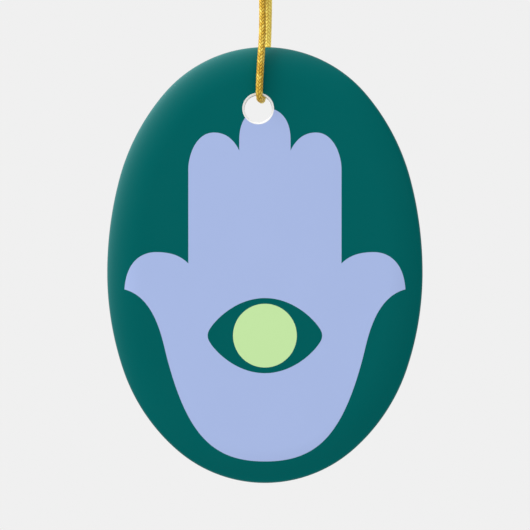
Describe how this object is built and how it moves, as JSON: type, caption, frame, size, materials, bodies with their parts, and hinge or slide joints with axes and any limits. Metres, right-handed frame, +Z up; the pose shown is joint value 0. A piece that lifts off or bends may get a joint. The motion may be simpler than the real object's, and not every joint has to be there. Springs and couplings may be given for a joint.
{
  "type": "hanging ornament",
  "caption": "Flat oval porcelain ornament printed with a hamsa hand and eye, hung from a doubled metallic cord through a small hole near its top.",
  "frame": {"origin": "top of the cord's loop, right under its knot, where a hook or a twig carries the ornament", "axes": "+Z up along the hanging cord, -Y out of the printed front, +X to the right seen from the front"},
  "size_m": [0.055, 0.0066, 0.0993],
  "materials": {
    "porcelain": "gloss",
    "teal_glaze": "gloss",
    "lilac_glaze": "gloss",
    "eye_glaze": "gloss",
    "green_glaze": "gloss",
    "gold_cord": "metallic thread"
  },
  "bodies": {
    "cord": {"hanging_cord": "gold_cord", "cord_knot": "gold_cord"},
    "ornament": {"ceramic_disc": "porcelain", "ground_print": "teal_glaze", "hand_print": "lilac_glaze", "eye_print": "eye_glaze", "iris_print": "green_glaze"}
  },
  "joints": [
    {"name": "swing", "type": "hinge", "parent": "cord", "child": "ornament", "pos_m": [-0.00081, 0, -0.02225], "axis": [0, 1, 0], "range_deg": [-30, 30]}
  ]
}
